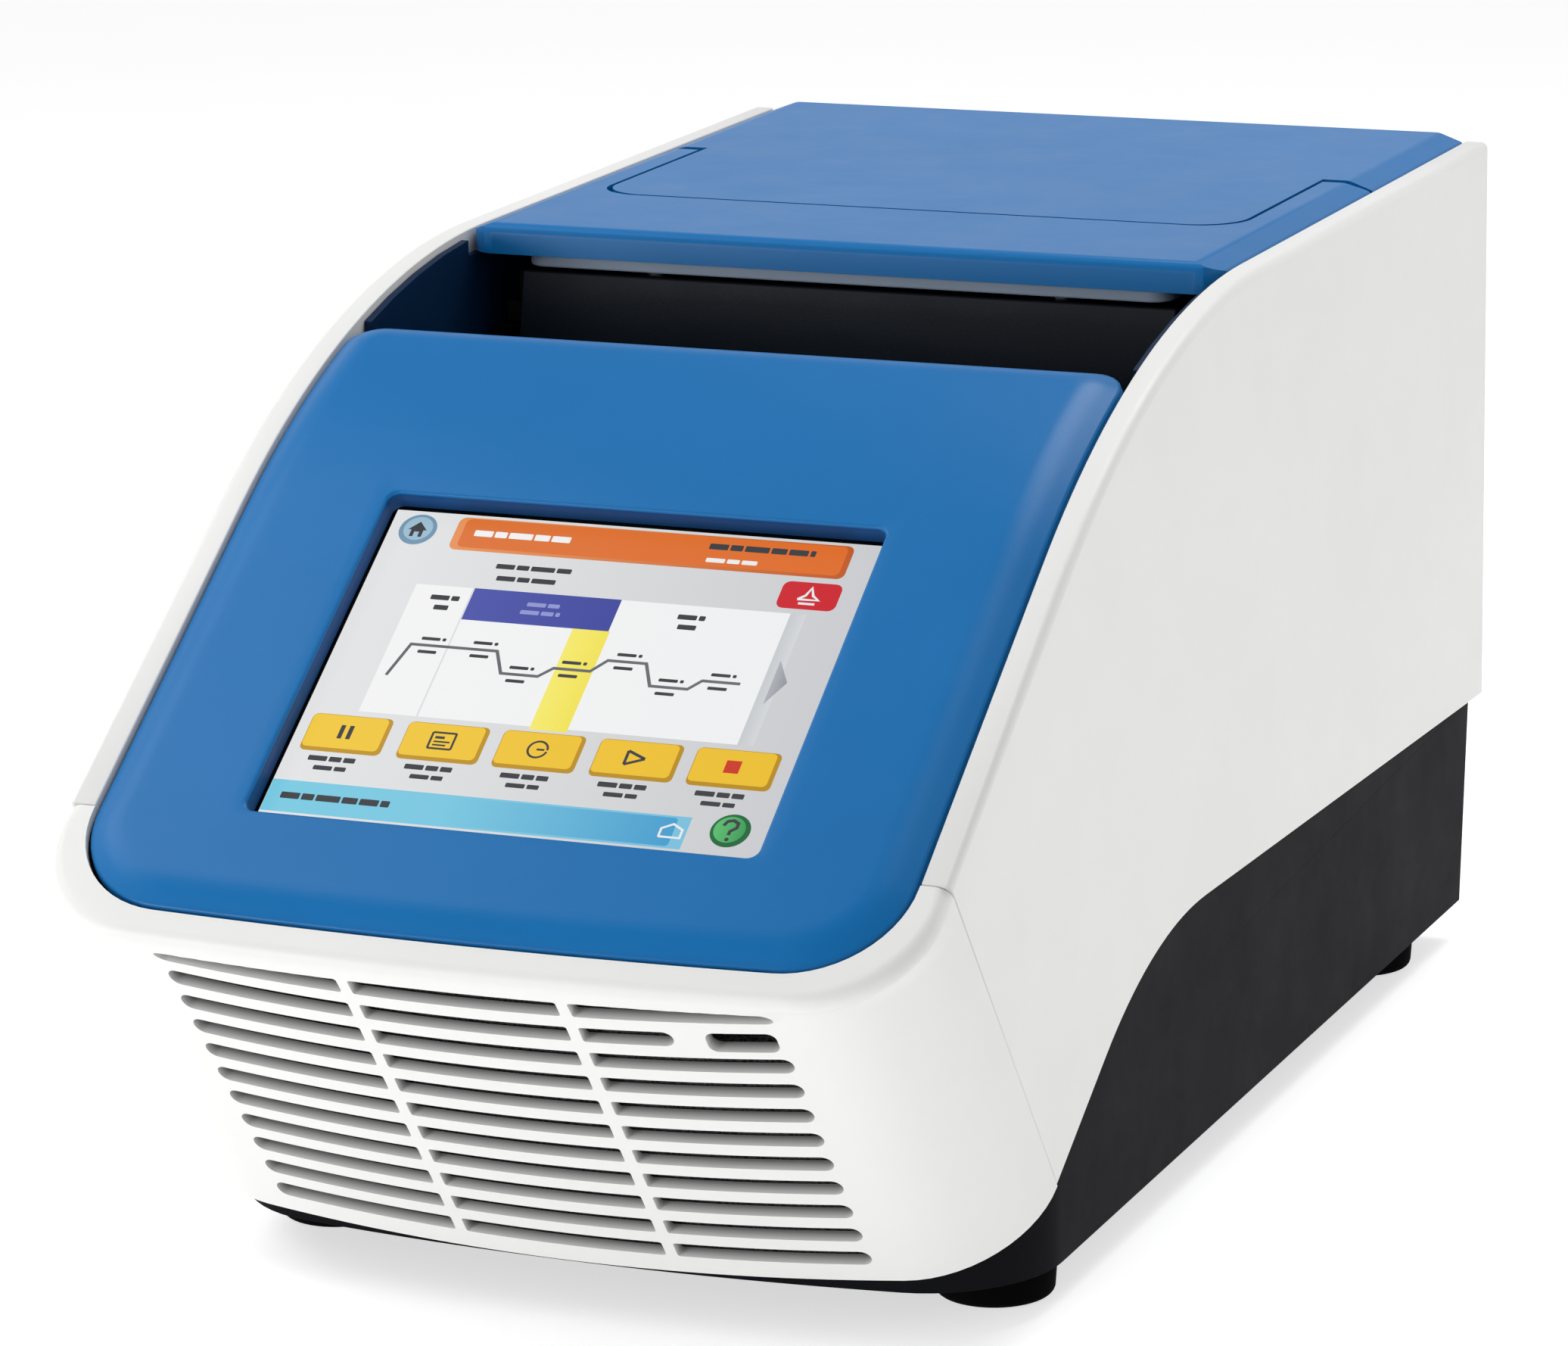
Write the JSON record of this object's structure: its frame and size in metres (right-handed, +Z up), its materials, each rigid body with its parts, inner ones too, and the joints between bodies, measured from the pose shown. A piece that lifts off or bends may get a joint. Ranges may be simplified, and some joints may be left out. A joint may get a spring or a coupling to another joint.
{
  "type": "thermal cycler",
  "caption": "Benchtop thermal cycler: wedge casing, sloped touch screen, louvred front, sliding heated cover with lift handle over a well block.",
  "frame": {"origin": "on the bench, under the middle of the instrument's bounding box", "axes": "+Z up; the front grille and screen face -Y; +X is the operator's right"},
  "size_m": [0.237, 0.481, 0.245],
  "materials": {
    "white_plastic": "satin moulded, fine texture",
    "blue_plastic": "satin moulded",
    "dark_blue_plastic": "satin moulded",
    "charcoal_plastic": "fine texture",
    "black_plastic": "matte",
    "grey_plastic": "matte",
    "black_rubber": "matte",
    "silicone": "matte",
    "nylon": "matte",
    "painted_steel": "powder coat",
    "steel": "zinc plated",
    "aluminium": "machined",
    "ceramic": "unglazed",
    "screen_glass": "glossy, lit",
    "display_module": "satin",
    "circuit_board": "solder mask",
    "foam": "closed cell",
    "filter_foam": "open cell"
  },
  "bodies": {
    "chassis": {"side_panel_left": "white_plastic", "side_panel_right": "white_plastic", "front_grille": "white_plastic", "front_bezel": "blue_plastic", "inner_trim_left": "dark_blue_plastic", "inner_trim_right": "dark_blue_plastic", "base_chassis": "charcoal_plastic", "block_deck": "charcoal_plastic", "intake_fan_frame": "black_plastic", "exhaust_fan_frame": "black_plastic", "power_inlet": "black_plastic", "switch_housing": "black_plastic", "foot_front_left": "black_rubber", "foot_front_right": "black_rubber", "foot_rear_left": "black_rubber", "foot_rear_right": "black_rubber", "display_gasket": "black_rubber", "block_gasket": "silicone", "rear_panel": "painted_steel", "rail_left": "steel", "rail_right": "steel", "sink_bracket_left": "steel", "sink_bracket_right": "steel", "power_supply": "steel", "network_port": "steel", "usb_port_front": "steel", "usb_port_rear": "steel", "fan_guard": "steel", "sample_block": "aluminium", "heat_sink": "aluminium", "peltier_1": "ceramic", "peltier_2": "ceramic", "peltier_3": "ceramic", "peltier_4": "ceramic", "peltier_5": "ceramic", "peltier_6": "ceramic", "touch_glass": "screen_glass", "lcd_display": "display_module", "display_board": "circuit_board", "main_board": "circuit_board", "driver_board": "circuit_board", "air_filter": "filter_foam"},
    "cover": {"cover_shell": "blue_plastic", "cover_carriage": "steel", "slide_shoe_left": "nylon", "slide_shoe_right": "nylon", "handle_pin_left": "steel", "handle_pin_right": "steel"},
    "handle": {"cover_handle": "blue_plastic", "handle_liner": "grey_plastic"},
    "platen": {"platen_housing": "charcoal_plastic", "heated_platen": "aluminium", "platen_foam": "foam", "platen_post_1": "steel", "platen_post_2": "steel", "platen_post_3": "steel", "platen_post_4": "steel"},
    "power_rocker": {"switch_rocker": "black_plastic"},
    "intake_rotor": {"intake_fan_rotor": "black_plastic"},
    "exhaust_rotor": {"exhaust_fan_rotor": "black_plastic"}
  },
  "joints": [
    {"name": "cover_slide", "type": "slide", "parent": "chassis", "child": "cover", "axis": [0, 1, 0], "range_m": [0, 0.12]},
    {"name": "handle_hinge", "type": "hinge", "parent": "cover", "child": "handle", "pos_m": [0, 0.15, 0.239], "axis": [-1, 0, 0], "range_deg": [0, 25]},
    {"name": "platen_lift", "type": "slide", "parent": "cover", "child": "platen", "axis": [0, 0, 1], "range_m": [0, 0.006]},
    {"name": "power_switch", "type": "hinge", "parent": "chassis", "child": "power_rocker", "pos_m": [-0.045, 0.2339, 0.092], "axis": [1, 0, 0], "range_deg": [0, 12]},
    {"name": "intake_fan_spin", "type": "hinge", "parent": "chassis", "child": "intake_rotor", "pos_m": [0, -0.0125, 0.118], "axis": [0, 1, 0], "continuous": true},
    {"name": "exhaust_fan_spin", "type": "hinge", "parent": "chassis", "child": "exhaust_rotor", "pos_m": [0.045, 0.2233, 0.148], "axis": [0, 1, 0], "continuous": true}
  ],
  "couplings": [
    {"joint": "platen_lift", "follows": "handle_hinge", "m_per_rad": 0.01375}
  ]
}
